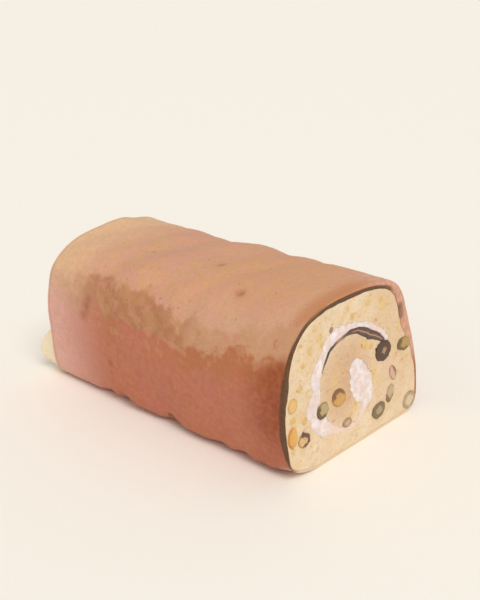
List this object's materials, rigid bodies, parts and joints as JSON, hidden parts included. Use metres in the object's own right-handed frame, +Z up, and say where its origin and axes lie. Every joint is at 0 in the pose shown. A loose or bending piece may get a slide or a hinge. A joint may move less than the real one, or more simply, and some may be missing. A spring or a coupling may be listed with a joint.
{
  "type": "swiss roll cake",
  "caption": "Rolled sponge cake with a brown crust, resting on its flat base, with a spiral of cream, a dark layer and dried fruit showing at the cut end.",
  "frame": {"origin": "middle of the flat base the roll rests on", "axes": "+X along the roll towards the cut end that shows the filling, +Y across to the side with the seam, +Z up"},
  "size_m": [0.1582, 0.0954, 0.073],
  "materials": {
    "sponge": "baked sponge crumb with a brown crust, matte",
    "cream": "whipped cream, soft satin",
    "dark_layer": "dark rolled-in layer, slightly moist",
    "raisin": "dark wrinkled skin with lighter flesh where cut",
    "sultana": "golden wrinkled skin with amber flesh where cut"
  },
  "bodies": {
    "root": {"sponge": "sponge", "cream": "cream", "dark_layer": "dark_layer", "raisin_1": "raisin", "raisin_2": "raisin", "raisin_3": "raisin", "raisin_4": "raisin", "raisin_5": "raisin", "raisin_6": "raisin", "raisin_7": "raisin", "raisin_8": "raisin", "raisin_9": "raisin", "raisin_10": "raisin", "raisin_11": "raisin", "raisin_12": "raisin", "raisin_13": "raisin", "sultana_1": "sultana", "sultana_2": "sultana", "sultana_3": "sultana", "sultana_4": "sultana"}
  },
  "joints": []
}
